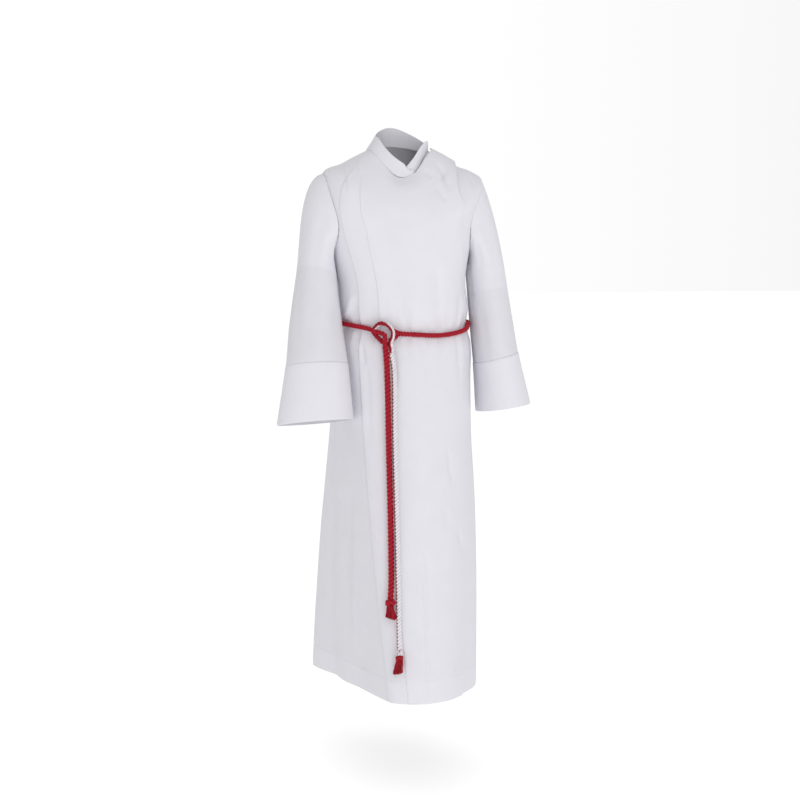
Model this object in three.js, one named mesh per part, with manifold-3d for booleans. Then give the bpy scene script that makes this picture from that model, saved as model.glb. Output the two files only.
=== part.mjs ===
// An altar server's alb with its cincture, in its worn form and hollow.
// Millimetres, +Z up. The origin is the middle of the neck at shoulder height,
// the front faces -Y and the wearer's left is +X.
import * as THREE from 'three';
import { mergeVertices } from 'three/addons/utils/BufferGeometryUtils.js';
import Module from 'manifold-3d';

// Driving sizes
const cloth = 1.2; // wall of single cloth
const shoulderHigh = 4; // how much more the closed edge stands up on the left shoulder
const wrapNeck = 4.5; // the wrap's neckline lies this far outside the collar
const doubled = 2.2; // wall of a folded band: cuff, collar
const seamGap = 0.4; // between two sewn edges
const lapGap = 1.6; // between the two fronts where they lap
const hemDeep = 48; // turned up at the foot of each panel
const sideAngle = 90; // shoulder seam and side seam, from the middle of the front
const tipAt = 134; // shoulder tip, as cloth distance down from the neckline
const underarmAt = 280;
const armholeFront = 34; // how far each armhole cuts into front and back, in degrees
const armholeBack = 26;
const capGap = 1.6; // from the armhole's edge to the top of the sleeve
const underFrontAngle = 8; // inner edge of the front that lies under the wrap
const degree = Math.PI / 180;

// Turns a line of column names and rows of values into rows that are read by name.
function table(columns, rows) {
  const names = columns.split(' ');
  return rows.map((row) => Object.fromEntries(names.map((name, i) => [name, row[i]])));
}

// Smooth value of one column at a place along the table.
function read(rows, column, at) {
  const last = rows.length - 1;
  let i = 0;
  while (i < last - 1 && rows[i + 1].at < at) i += 1;
  const slope = (k) => {
    const a = rows[Math.max(k - 1, 0)];
    const b = rows[Math.min(k + 1, last)];
    return (b[column] - a[column]) / (b.at - a.at);
  };
  const span = rows[i + 1].at - rows[i].at;
  const t = THREE.MathUtils.clamp((at - rows[i].at) / span, 0, 1);
  const t2 = t * t;
  const t3 = t2 * t;
  return (
    (2 * t3 - 3 * t2 + 1) * rows[i][column] +
    (t3 - 2 * t2 + t) * span * slope(i) +
    (3 * t2 - 2 * t3) * rows[i + 1][column] +
    (t3 - t2) * span * slope(i + 1)
  );
}

const ramp = (value, from, to) => THREE.MathUtils.smoothstep(value, from, to);

// The body of the robe, level by level from the neckline to the hem.
const bodyLevels = table('at wide front back sideZ frontZ backZ roll square dip shift', [
  [0, 62, 62, 58, -5, -64, 6, 0, 0, 3.0, 0], // neckline
  [30, 90, 82, 74, -19, -81, -12, 0, 0, 2.8, 0],
  [67, 118, 93, 86, -34, -103, -36, 1, 0.02, 2.5, 2],
  [103, 145, 100, 94, -43, -126, -62, 3, 0.04, 2.2, 7],
  [134, 163, 103, 98, -57, -148, -88, 5, 0.05, 2, 11], // shoulder tip
  [175, 163, 105, 101, -98, -166, -114, 2, 0.05, 2, 5],
  [228, 154, 107, 101, -152, -192, -158, 0, 0.05, 2, 4],
  [280, 141, 108, 99, -212, -222, -212, 0, 0.05, 2, 5], // underarm
  [338, 131, 108, 96, -270, -276, -268, 0, 0.04, 2, 8],
  [393, 133, 107, 95, -323, -332, -318, 0, 0.03, 2, 11],
  [430, 126, 99, 88, -358, -372, -352, 0, 0.02, 2, 12.5], // under the cincture
  [468, 134, 107, 98, -398, -406, -394, 0, 0.03, 2, 12],
  [1173, 160, 160, 190, -1108, -1108, -1104, 0, 0.03, 2, 6], // hem
]);

// The hem's plan, which the skirt comes to from the level below the cincture.
// Its right side is a flat plane from a corner behind to a crease in front.
const hemPlan = table('at x y', [
  [-135, -112, 226],
  [-126, -139, 221], // corner behind the right side
  [-117, -140, 198],
  [-105, -127, 156],
  [-90, -112, 110], // right side seam
  [-79, -96, 55],
  [-68, -79, -5],
  [-55, -60, -76],
  [-43, -44, -130], // crease in front
  [-30, -24, -151],
  [-15, 0, -160],
  [0, 25, -160],
  [20, 62, -149],
  [38, 97, -125],
  [54, 127, -88],
  [70, 148, -48],
  [90, 160, 12], // left side seam
  [110, 156, 80],
  [130, 128, 140],
  [150, 84, 178],
  [170, 36, 196],
  [190, -14, 206],
  [210, -64, 214],
  [225, -112, 226],
  [234, -139, 221],
  [243, -140, 198],
]);

// The largest folds of the body: a trough where deep is positive and a ridge where it is negative.
const bodyFolds = table('name topAngle footAngle startAt fullAt wide deep', [
  ['pleat below the right hand', -76, -80, 560, 1173, 7, -4],
  ['hollow behind it', -88, -93, 560, 1173, 9, 5],
  ['front left', 44, 46, 480, 1173, 16, 5],
  ['left side flute', 84, 84, 480, 1173, 14, -8],
  ['left back hollow', 118, 118, 480, 1173, 14, 13],
  ['left back flute', 144, 144, 480, 1173, 12, -11],
  ['middle back hollow', 168, 168, 480, 1173, 12, 14],
  ['middle back flute', 190, 190, 480, 1173, 12, -9],
  ['right back hollow', 211, 211, 480, 1173, 11, 13],
]);

function angleBetween(a, b) {
  return THREE.MathUtils.euclideanModulo(a - b + 180, 360) - 180;
}

function foldDepth(angle, at) {
  let sum = 0;
  for (const fold of bodyFolds) {
    const along = THREE.MathUtils.clamp((at - fold.startAt) / (fold.fullAt - fold.startAt), 0, 1);
    const middle = THREE.MathUtils.lerp(fold.topAngle, fold.footAngle, along);
    const off = angleBetween(angle, middle) / fold.wide;
    sum += fold.deep * Math.sqrt(along) * Math.exp(-off * off);
  }
  return sum;
}

// A point of the body's form, at an angle from the middle of the front, positive to the wearer's left.
const skirtTop = 468;
const hemAt = bodyLevels[bodyLevels.length - 1].at;
function onBody(angle, at) {
  const value = (column) => read(bodyLevels, column, at);
  const sin = Math.sin(angle * degree);
  const cos = Math.cos(angle * degree);
  const facing = cos > 0;
  const deep = value(facing ? 'front' : 'back');
  const wide = value('wide');
  const bulge = 1 + value('square') * Math.sin(2 * angle * degree) ** 2;
  const point = new THREE.Vector2(value('shift') + wide * sin * bulge, -deep * cos * bulge);
  const flare = THREE.MathUtils.clamp((at - skirtTop) / (hemAt - skirtTop), 0, 1);
  const turn = THREE.MathUtils.euclideanModulo(angle + 126, 360) - 126;
  const hem = new THREE.Vector2(read(hemPlan, 'x', turn), read(hemPlan, 'y', turn));
  point.lerp(hem, flare);
  const normal = new THREE.Vector2(sin / wide, -cos / deep).normalize();
  point.addScaledVector(normal, -foldDepth(angle, at));
  const sideZ = value('sideZ');
  const endZ = value(facing ? 'frontZ' : 'backZ');
  const z = sideZ + (endZ - sideZ) * Math.abs(cos) ** value('dip') - value('roll') * sin;
  return new THREE.Vector3(point.x, point.y, z);
}

// How far round the armhole a level is: 0 outside it, 1 at its widest.
function armholeOpen(at) {
  if (at <= tipAt || at >= underarmAt) return 0;
  const cosine = 1 - (2 * (at - tipAt)) / (underarmAt - tipAt);
  return Math.sqrt(1 - cosine * cosine);
}

// The angle that a gap of half a seam takes up at a level.
function seamAngle(at) {
  return seamGap / 2 / read(bodyLevels, 'front', at) / degree;
}

const frontEdge = (at) => sideAngle - armholeFront * armholeOpen(at) - seamAngle(at);
const backEdge = (at) => sideAngle + armholeBack * armholeOpen(at) + seamAngle(at);

// The free edge of the wrap, which leaves the left shoulder and drops to the hem.
const wrapEdges = table('at angle', [
  [0, 97],
  [42, 97],
  [52, 88],
  [66, 66],
  [84, 49],
  [104, 41],
  [134, 38],
  [175, 38],
  [228, 42],
  [280, 48],
  [338, 51],
  [430, 53],
  [568, 46],
  [1173, 47],
]);

// The two pressed pleats of the right front.
const pleatHigh = 2;
const pleatPaths = table('at outer inner', [
  [0, -66, -52],
  [60, -60, -48],
  [103, -55, -41],
  [150, -53, -36],
  [200, -52, -32],
  [280, -51, -32],
  [385, -49, -30],
  [430, -50, -29],
  [1173, -43, -22],
]);

// A wall of cloth between two faces of a surface: point(u, v) is its middle,
// and outer and inner are how far its faces stand from that.
function clothWall({ point, across, down, outer, inner, tube = false, flip = 1 }) {
  const step = 1e-3;
  const normalAt = (u, v) => {
    const u0 = tube ? u - step : Math.max(u - step, 0);
    const u1 = tube ? u + step : Math.min(u + step, 1);
    const first = down[0];
    const last = down[down.length - 1];
    const v0 = Math.max(v - step, Math.min(first, last));
    const v1 = Math.min(v + step, Math.max(first, last));
    const alongU = point(u1, v).sub(point(u0, v));
    const alongV = point(u, v1).sub(point(u, v0));
    return alongU.cross(alongV).normalize().multiplyScalar(flip);
  };
  const columns = tube ? across : across + 1;
  const vertices = [];
  for (const face of [outer, inner]) {
    for (const v of down) {
      for (let i = 0; i < columns; i += 1) {
        const u = i / across;
        const offset = typeof face === 'function' ? face(u, v) : face;
        const place = point(u, v).addScaledVector(normalAt(u, v), offset);
        vertices.push(place.x, place.y, place.z);
      }
    }
  }
  const size = down.length * columns;
  const triangles = [];
  const quad = (a, b, c, d) => {
    if (flip > 0) triangles.push(a, b, c, a, c, d);
    else triangles.push(a, c, b, a, d, c);
  };
  const spans = tube ? columns : columns - 1;
  for (let j = 0; j < down.length - 1; j += 1) {
    for (let i = 0; i < spans; i += 1) {
      const a = j * columns + i;
      const b = j * columns + ((i + 1) % columns);
      const c = b + columns;
      const d = a + columns;
      quad(a, b, c, d);
      quad(size + b, size + a, size + d, size + c);
    }
  }
  const bottom = (down.length - 1) * columns;
  for (let i = 0; i < spans; i += 1) {
    const next = (i + 1) % columns;
    quad(i, size + i, size + next, next);
    quad(bottom + next, size + bottom + next, size + bottom + i, bottom + i);
  }
  if (!tube) {
    for (let j = 0; j < down.length - 1; j += 1) {
      const a = j * columns;
      const b = a + columns - 1;
      quad(a, a + columns, size + a + columns, size + a);
      quad(b + columns, b, size + b, size + b + columns);
    }
  }
  const geometry = new THREE.BufferGeometry();
  geometry.setAttribute('position', new THREE.Float32BufferAttribute(vertices, 3));
  geometry.setIndex(triangles);
  geometry.computeVertexNormals();
  return geometry;
}

const garment = new THREE.Group();
const white = { color: 0xe9e8ee, roughness: 0.85, metalness: 0 };
const red = { color: 0xa01c2c, roughness: 0.7, metalness: 0 };
const pale = { color: 0xe3d3d6, roughness: 0.7, metalness: 0 };

function add(name, geometry, finish) {
  const mesh = new THREE.Mesh(geometry, new THREE.MeshStandardMaterial(finish));
  mesh.name = name;
  garment.add(mesh);
}

// Levels at which the body panels have a row, so that their seams match.
const armholeRows = [0, 20, 40, 60, 80, 100, 120, 140, 160].map(
  (turn) => tipAt + ((underarmAt - tipAt) * (1 - Math.cos(turn * degree))) / 2,
);
const panelRows = [
  0, 14, 30, 42, 52, 66, 84, 104, 120, ...armholeRows, 280, 308, 338, 368, 393, 412,
  430, 448, 468, 520, 600, 700, 800, 900, 1010, hemAt - hemDeep - 2, hemAt - hemDeep + 2, hemAt,
];

const panelInner = (at) => (at > hemAt - hemDeep ? -1.5 * cloth : -0.5 * cloth);

// A panel of the body. places gives the angles of its columns at a level.
function bodyPanel(across, places, lift, startAt = () => 0) {
  const angleAt = (u, at) => {
    const angles = places(at);
    const along = THREE.MathUtils.clamp(u, 0, 1) * (angles.length - 1);
    const i = Math.min(Math.floor(along), angles.length - 2);
    return THREE.MathUtils.lerp(angles[i], angles[i + 1], along - i);
  };
  const levelAt = (angle, at) => at + startAt(angle) * (1 - ramp(at, 0, 45));
  return clothWall({
    point: (u, at) => onBody(angleAt(u, at), levelAt(angleAt(u, at), at)),
    across,
    down: panelRows,
    outer: (u, at) => 0.5 * cloth + lift(angleAt(u, at), at),
    inner: (u, at) => panelInner(at) + lift(angleAt(u, at), at),
    flip: -1,
  });
}

function spread(from, to, count) {
  return Array.from({ length: count + 1 }, (_, i) => THREE.MathUtils.lerp(from, to, i / count));
}

const wrapHigh = 2 * cloth + lapGap;
const wrapLift = (angle, at) => wrapHigh * ramp(angle, underFrontAngle - 26, underFrontAngle - 3)
  + shoulderHigh * ramp(angle, 20, 55) * (1 - ramp(at, 70, 150));

// A knife pleat stands up at its fold and dies away towards the middle of the front.
function pleatLift(angle, at) {
  let sum = 0;
  for (const column of ['outer', 'inner']) {
    const off = angle - read(pleatPaths, column, at);
    if (off > 0 && off < 16) sum += pleatHigh * ramp(off, 0, 1) * (1 - ramp(off, 1, 16));
  }
  return sum * ramp(at, 40, 120);
}

function rightColumns(at) {
  const side = -frontEdge(at);
  const outer = Math.max(read(pleatPaths, 'outer', at), side + 2);
  const inner = read(pleatPaths, 'inner', at);
  const edge = read(wrapEdges, 'angle', at);
  return [
    ...spread(side, outer, 3),
    ...spread(outer + 1, inner, 2),
    ...spread(inner + 1, edge, 11),
  ];
}

add('back', bodyPanel(22, (at) => spread(backEdge(at), 360 - backEdge(at), 22), () => 0), white);
add('front_left', bodyPanel(9, (at) => spread(underFrontAngle, frontEdge(at), 9), () => 0), white);
add(
  'front_right',
  bodyPanel(
    18,
    rightColumns,
    (angle, at) => wrapLift(angle, at) + pleatLift(angle, at),
    (angle) => wrapNeck * ramp(angle, 16, 26),
  ),
  white,
);

// Sleeves. Each arm's sections run from the upper arm to the sleeve's mouth: out is the half width
// away from the body, fore the half width from front to back, and tilt raises the outer side.
const armRight = table('at x y z out fore tilt', [
  [0, 168, -12, -250, 40, 50, 0],
  [110, 175, -40, -358, 53, 46, -2],
  [185, 177, -64, -434, 62, 44, -4],
  [305, 184, -84, -546, 76, 46, -9],
]);
const armLeft = table('at x y z out fore tilt', [
  [0, 183, -8, -250, 39, 50, 0],
  [110, 194, -12, -345, 42.5, 56, 2],
  [185, 204, -16, -426, 45, 62, 5],
  [295, 219, -20, -528, 55, 70, 0],
]);
// How the top of each cap leaves the shoulder: drop for a step outwards, and how firmly.
const capLeave = { right: [0.2, 0.75], left: [2.4, 0.9] };
const cuffLine = 185;

function armSection(arm, side, at, around) {
  const centre = (place) => new THREE.Vector3(
    side * read(arm, 'x', place),
    read(arm, 'y', place),
    read(arm, 'z', place),
  );
  const mouth = arm[arm.length - 1].at;
  const ahead = centre(Math.min(at + 1, mouth));
  const along = ahead.sub(centre(Math.max(at - 1, 0))).normalize();
  const out = new THREE.Vector3(side, 0, 0);
  out.addScaledVector(along, -out.dot(along)).normalize();
  const fore = new THREE.Vector3(0, -1, 0);
  fore.addScaledVector(along, -fore.dot(along)).addScaledVector(out, -fore.dot(out)).normalize();
  const point = centre(at)
    .addScaledVector(out, read(arm, 'out', at) * Math.cos(around))
    .addScaledVector(fore, read(arm, 'fore', at) * Math.sin(around));
  point.z += read(arm, 'tilt', at) * Math.cos(around);
  return point;
}

function armholePoint(side, around) {
  const at = tipAt + ((underarmAt - tipAt) * (1 - Math.cos(around))) / 2;
  const sin = Math.sin(around);
  const angle = sideAngle - (sin > 0 ? armholeFront : armholeBack) * sin;
  return onBody(side * angle, at);
}

// The sleeve's cap runs from the armhole to the upper arm, as its row goes from -1 to 0.
function onSleeve(arm, side, row, around) {
  if (row >= 0) return armSection(arm, side, row, around);
  const t = row + 1;
  const low = (1 - Math.cos(around)) / 2;
  const [drop, firm] = capLeave[side > 0 ? 'left' : 'right'];
  const leave = new THREE.Vector3(side, 0, -THREE.MathUtils.lerp(drop, 1.2, Math.sqrt(low))).normalize();
  const start = armholePoint(side, around).add(new THREE.Vector3(side, 0, -0.3).multiplyScalar(capGap));
  const end = armSection(arm, side, 0, around);
  const arrive = armSection(arm, side, 4, around).sub(end).normalize();
  const reach = end.distanceTo(start);
  const t2 = t * t;
  const t3 = t2 * t;
  return start
    .multiplyScalar(2 * t3 - 3 * t2 + 1)
    .addScaledVector(leave, (t3 - 2 * t2 + t) * reach * THREE.MathUtils.lerp(firm, 0.6, low))
    .addScaledVector(end, 3 * t2 - 2 * t3)
    .addScaledVector(arrive, (t3 - t2) * reach * 0.9);
}

function sleeveTube(arm, side, rows, outer, inner) {
  return clothWall({
    point: (u, row) => onSleeve(arm, side, row, u * 2 * Math.PI),
    across: 18,
    down: rows,
    outer,
    inner,
    tube: true,
    flip: side,
  });
}

const capRows = [-1, -0.86, -0.7, -0.52, -0.34, -0.16];
for (const [name, arm, side] of [['right', armRight, -1], ['left', armLeft, 1]]) {
  const mouth = arm[arm.length - 1].at;
  const rows = [...capRows, 0, 30, 60, 95, 130, cuffLine - seamGap];
  add(`sleeve_${name}`, sleeveTube(arm, side, rows, 0.5 * cloth, -0.5 * cloth), white);
  const cuffRows = [cuffLine, (cuffLine + mouth) / 2, mouth];
  add(`cuff_${name}`, sleeveTube(arm, side, cuffRows, 0.6 * doubled, -0.4 * doubled), white);
}

// The collar is one standing band. It starts over the wrap, goes round the wearer's right side
// and the back, and ends inside the wrap on the left.
const collarTurn = table('at high lean lift', [
  [-20, 3, 0, 4], // outer end, on the wearer's left of the middle
  [-10, 11, 1, 4],
  [0, 27, 3, 3.5],
  [20, 34, 5, 1],
  [45, 30, 10, 0],
  [90, 26, 18, 0],
  [135, 32, 14, 0],
  [180, 36, 6, 0],
  [225, 26, 2, 0],
  [270, 12, 0, 0],
  [295, 22, 0, -1],
  [320, 29, 1, -2.4],
  [334, 28, 2, -2.5],
  [346, 26, 2, -2.6],
  [354, 21, 2, -2.8],
  [362, 14, 2, -2.8], // inner end, behind the outer one
]);
const collarFoot = 1.6;

function onCollar(u, rise) {
  const first = collarTurn[0].at;
  const last = collarTurn[collarTurn.length - 1].at;
  const at = THREE.MathUtils.lerp(first, last, u);
  const foot = onBody(-at, 0);
  const outward = new THREE.Vector3(foot.x, foot.y, 0).normalize();
  const lift = read(collarTurn, 'lift', at);
  const lean = rise * read(collarTurn, 'lean', at);
  const up = collarFoot + Math.max(lift, 0) * 0.9 + rise * read(collarTurn, 'high', at);
  return foot.addScaledVector(outward, Math.min(lift, lift * 0.3) - lean).add(new THREE.Vector3(0, 0, up));
}

add(
  'collar',
  clothWall({
    point: onCollar,
    across: 28,
    down: [0, 0.33, 0.67, 1],
    outer: 0.5 * doubled,
    inner: -0.5 * doubled,
    flip: -1,
  }),
  white,
);

// The cincture: one rope round the waist, its knot, and two hanging ends with tassels.
const ropeWide = 10;
const hangingWide = 11; // the red end, slack and fuller
const ropeGap = 1;
const beltOff = ropeWide / 2 + 2.6; // from the cloth's middle to the middle of the rope
const beltLevel = 430;

function tube(points, steps, wide = ropeWide, curve = 'centripetal') {
  const path = new THREE.CatmullRomCurve3(points, false, curve);
  const circle = new THREE.Shape();
  circle.absarc(0, 0, wide / 2, 0, 2 * Math.PI);
  const geometry = new THREE.ExtrudeGeometry(circle, { steps, curveSegments: 5, extrudePath: path });
  geometry.deleteAttribute('uv');
  geometry.deleteAttribute('normal');
  return mergeVertices(geometry, 1e-3);
}

// The rope's rise above the cloth's cincture level, as it sags in front.
const beltRise = table('at rise', [
  [-120, 2],
  [-90, 5],
  [-50, 7],
  [-22, 2],
  [0, 0],
  [25, -5],
  [50, -4],
  [72, 2],
  [92, 5],
  [140, 1],
  [240, 2],
]);

function onBelt(angle) {
  const turn = THREE.MathUtils.euclideanModulo(angle + 120, 360) - 120;
  const here = onBody(angle, beltLevel);
  const before = onBody(angle - 1, beltLevel);
  const after = onBody(angle + 1, beltLevel);
  const outward = new THREE.Vector3(after.y - before.y, before.x - after.x, 0).normalize();
  const lap = wrapHigh * ramp(turn, -18, 5) * (1 - ramp(turn, 56, 70));
  const pleat = pleatHigh * ramp(turn, -64, -54) * (1 - ramp(turn, -16, -4));
  here.addScaledVector(outward, beltOff + lap + pleat);
  here.z += read(beltRise, 'rise', turn);
  return here;
}

// The turn round the waist runs from the knot's left to its right.
const beltFrom = -11;
const beltTo = 319;
const endAngle = 1; // between the end of that turn and the knot
const beltPoints = spread(beltFrom, beltTo, 30).map(onBelt);

// The knot lies in front of the wearer's right. Its places are given across to the wearer's left,
// up, and out from the cloth, from the middle of the knot.
const knotMiddle = onBelt(-25);
const knotOut = new THREE.Vector3(-0.208, -0.978, 0);
const knotAcross = new THREE.Vector3(0.978, -0.208, 0);

function byKnot(rows) {
  return table('across up out', rows).map((row) => knotMiddle.clone()
    .addScaledVector(knotAcross, row.across)
    .addScaledVector(knotOut, row.out)
    .add(new THREE.Vector3(0, 0, row.up)));
}

const wasm = await Module();
wasm.setup();

function solid(geometry) {
  const merged = mergeVertices(geometry, 1e-3);
  return new wasm.Manifold(
    new wasm.Mesh({
      numProp: 3,
      vertProperties: merged.attributes.position.array,
      triVerts: new Uint32Array(merged.index.array),
    }),
  );
}

function joined(parts) {
  const whole = parts.map(solid).reduce((sum, part) => sum.add(part)).getMesh();
  const geometry = new THREE.BufferGeometry();
  geometry.setAttribute('position', new THREE.Float32BufferAttribute(whole.vertProperties, 3));
  geometry.setIndex(Array.from(whole.triVerts));
  return geometry;
}

const fromRight = onBelt(beltTo + endAngle);
const fromLeft = onBelt(beltFrom - endAngle);
// The rope comes in from the wearer's right, turns down over the rest and hangs as the red end.
const turnDown = [fromRight, ...byKnot([
  [-20, 2, 6],
  [-10, -1, 12],
  [-3, -4, 15],
  [-1, -12, 15],
  [-1, -25, 14],
])];
// A second strand dives under it and hangs as the white end.
const diveUnder = byKnot([
  [-25, 1, 3],
  [-17, -9, 4],
  [-6, -19, 4],
  [7, -23, 8],
  [11.5, -31, 13],
  [11.5, -42, 13.5],
]);
// A loop rises over the knot and comes down on the wearer's left of it.
const loopOver = byKnot([
  [-24, 6, 4],
  [-12, 17, 8],
  [2, 16, 12],
  [13, 5, 14],
  [14, -8, 14],
  [10, -20, 13],
  [10.5, -30, 13],
]);
// The rope from the wearer's left ends in two strands that go into the loop.
const upperArm = [fromLeft, ...byKnot([
  [19, 2, 4],
  [9, 8, 7],
])];
const lowerArm = [byKnot([[25, -4, 1]])[0], ...byKnot([
  [18, -12, 4],
  [6, -16, 7],
])];
add(
  'cincture_knot',
  joined([
    tube(turnDown, 9),
    tube(diveUnder, 6),
    tube(loopOver, 10, 9),
    tube(upperArm, 3, 8),
    tube(lowerArm, 3, 8),
  ]),
  red,
);
add('cincture_belt', tube(beltPoints, 32), red);

// The hanging ends: places in the part's own frame, below where each leaves the knot.
const redEnd = table('x y z', [
  [-45.5, -117, -430],
  [-45.5, -134, -580],
  [-44.5, -147, -740],
  [-44.5, -153, -860],
  [-47, -158, -893],
]);
const whiteEnd = table('x y z', [
  [-31.5, -119, -440],
  [-33, -136, -580],
  [-32, -151, -740],
  [-31, -158, -860],
  [-30, -164, -995],
]);

function hanging(leaves, rows) {
  const top = leaves[leaves.length - 1].clone();
  top.z -= ropeGap;
  return [top, ...rows.map((row) => new THREE.Vector3(row.x, row.y, row.z))];
}

add('cord_red', tube(hanging(turnDown, redEnd), 17, hangingWide), red);
add('cord_white', tube(hanging(diveUnder, whiteEnd), 20), pale);

// A tassel: the binding swells from the rope and the tuft flares below it.
function tassel(end, profile) {
  const points = profile.map((row) => new THREE.Vector2(row.radius, row.z));
  const geometry = new THREE.LatheGeometry([new THREE.Vector2(0, points[0].y), ...points,
    new THREE.Vector2(0, points[points.length - 1].y)].reverse(), 12);
  geometry.deleteAttribute('uv');
  geometry.deleteAttribute('normal');
  geometry.rotateX(Math.PI / 2);
  geometry.translate(end.x, end.y, end.z);
  return mergeVertices(geometry, 1e-3);
}

add('tassel_red', tassel(redEnd[redEnd.length - 1], table('radius z', [
  [7.5, -ropeGap],
  [11, -5],
  [11, -11],
  [8.5, -17],
  [8, -20],
  [9, -27],
  [10.5, -38],
  [10.5, -43],
])), red);
add('tassel_white', tassel(whiteEnd[whiteEnd.length - 1], table('radius z', [
  [5.5, -ropeGap],
  [7, -5],
  [6, -10],
  [8, -14],
  [8, -24],
  [9.5, -36],
  [10, -49],
])), red);

export default garment;
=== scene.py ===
import bpy, math, random
import numpy as np
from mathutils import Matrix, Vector


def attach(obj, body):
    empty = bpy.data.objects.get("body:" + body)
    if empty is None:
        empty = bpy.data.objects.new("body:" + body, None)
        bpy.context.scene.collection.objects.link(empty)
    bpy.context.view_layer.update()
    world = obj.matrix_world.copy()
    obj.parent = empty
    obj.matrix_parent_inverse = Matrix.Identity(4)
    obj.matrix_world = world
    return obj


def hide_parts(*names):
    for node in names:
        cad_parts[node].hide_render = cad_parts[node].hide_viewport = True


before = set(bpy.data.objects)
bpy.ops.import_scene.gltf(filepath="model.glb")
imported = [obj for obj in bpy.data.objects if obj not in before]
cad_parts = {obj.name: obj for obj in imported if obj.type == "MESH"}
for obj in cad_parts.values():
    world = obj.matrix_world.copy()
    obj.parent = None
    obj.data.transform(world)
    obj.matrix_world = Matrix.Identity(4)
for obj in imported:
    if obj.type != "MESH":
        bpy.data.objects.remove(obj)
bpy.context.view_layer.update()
mm = 0.001
print("frame loaded:", len(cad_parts), "nodes")


cameraSettings = {"azimuth": -12.0, "distance": 3.7, "height": -0.175, "aimHeight": -0.512,
                  "aimAside": 0.006, "lens": 81.5}


def buildCamera(settings):
    turn = math.radians(settings["azimuth"])
    aside = Vector((math.cos(turn), math.sin(turn), 0))
    away = Vector((-math.sin(turn), math.cos(turn), 0))
    place = away * -settings["distance"] + Vector((0, 0, settings["height"]))
    aim = aside * settings["aimAside"] + Vector((0, 0, settings["aimHeight"]))
    data = bpy.data.cameras.new("camera")
    data.lens = settings["lens"]
    data.clip_end = 60
    camera = bpy.data.objects.new("camera", data)
    camera.location = place
    camera.rotation_euler = (aim - place).to_track_quat("-Z", "Y").to_euler()
    bpy.context.scene.collection.objects.link(camera)
    bpy.context.scene.camera = camera


buildCamera(cameraSettings)


def table(columns, rows):
    return {name: np.array([row[i] for row in rows], float) for i, name in enumerate(columns.split())}


def read(rows, column, at):  # smooth value of a column at each place
    keys, values = rows["at"], rows[column]
    at = np.asarray(at, float)
    last = len(keys) - 1
    i = np.clip(np.searchsorted(keys, at, side="right") - 1, 0, last - 1)

    def slope(k):
        low, high = np.maximum(k - 1, 0), np.minimum(k + 1, last)
        return (values[high] - values[low]) / (keys[high] - keys[low])

    span = keys[i + 1] - keys[i]
    t = np.clip((at - keys[i]) / span, 0, 1)
    t2, t3 = t * t, t * t * t
    return ((2 * t3 - 3 * t2 + 1) * values[i] + (t3 - 2 * t2 + t) * span * slope(i)
            + (3 * t2 - 2 * t3) * values[i + 1] + (t3 - t2) * span * slope(i + 1))


def ramp(value, low, high):
    t = np.clip((np.asarray(value, float) - low) / (high - low), 0, 1)
    return t * t * (3 - 2 * t)


clothWall = 1.2
doubled = 2.2
seamGap = 0.4
lapGap = 1.6
shoulderHigh = 4
wrapNeck = 4.5
hemDeep = 48
sideAngle = 90
tipAt = 134
underarmAt = 280
armholeFront = 34
armholeBack = 26
underFrontAngle = 8
beltLevel = 430
skirtTop = 468
hemAt = 1173

bodyLevels = table("at wide front back sideZ frontZ backZ roll square dip shift", [
    [0, 62, 62, 58, -5, -64, 6, 0, 0, 3.0, 0],  # neckline
    [30, 90, 82, 74, -19, -81, -12, 0, 0, 2.8, 0],
    [67, 118, 93, 86, -34, -103, -36, 1, 0.02, 2.5, 2],
    [103, 145, 100, 94, -43, -126, -62, 3, 0.04, 2.2, 7],
    [134, 163, 103, 98, -57, -148, -88, 5, 0.05, 2, 11],  # shoulder tip
    [175, 163, 105, 101, -98, -166, -114, 2, 0.05, 2, 5],
    [228, 154, 107, 101, -152, -192, -158, 0, 0.05, 2, 4],
    [280, 141, 108, 99, -212, -222, -212, 0, 0.05, 2, 5],  # underarm
    [338, 131, 108, 96, -270, -276, -268, 0, 0.04, 2, 8],
    [393, 133, 107, 95, -323, -332, -318, 0, 0.03, 2, 11],
    [430, 126, 99, 88, -358, -372, -352, 0, 0.02, 2, 12.5],  # under the cincture
    [468, 134, 107, 98, -398, -406, -394, 0, 0.03, 2, 12],
    [1173, 160, 160, 190, -1108, -1108, -1104, 0, 0.03, 2, 6],  # hem
])

hemPlan = table("at x y", [
    [-135, -112, 226], [-126, -139, 221], [-117, -140, 198], [-105, -127, 156], [-90, -112, 110],
    [-79, -96, 55], [-68, -79, -5], [-55, -60, -76], [-43, -44, -130], [-30, -24, -151],
    [-15, 0, -160], [0, 25, -160], [20, 62, -149], [38, 97, -125], [54, 127, -88], [70, 148, -48],
    [90, 160, 12], [110, 156, 80], [130, 128, 140], [150, 84, 178], [170, 36, 196], [190, -14, 206],
    [210, -64, 214], [225, -112, 226], [234, -139, 221], [243, -140, 198],
])

bodyFolds = table("topAngle footAngle startAt fullAt wide deep", [
    [-76, -80, 560, 1173, 7, -4],  # pleat below the right hand
    [-88, -93, 560, 1173, 9, 5],
    [44, 46, 480, 1173, 16, 5],
    [84, 84, 480, 1173, 14, -8],
    [118, 118, 480, 1173, 14, 13],
    [144, 144, 480, 1173, 12, -11],
    [168, 168, 480, 1173, 12, 14],
    [190, 190, 480, 1173, 12, -9],
    [211, 211, 480, 1173, 11, 13],
])


def foldDepth(angle, at):
    total = np.zeros(np.broadcast(angle, at).shape)
    for top, foot, start, full, wide, deep in zip(*bodyFolds.values()):
        along = np.clip((at - start) / (full - start), 0, 1)
        off = ((angle - (top + (foot - top) * along) + 180) % 360 - 180) / wide
        total = total + deep * np.sqrt(along) * np.exp(-off * off)
    return total


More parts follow.
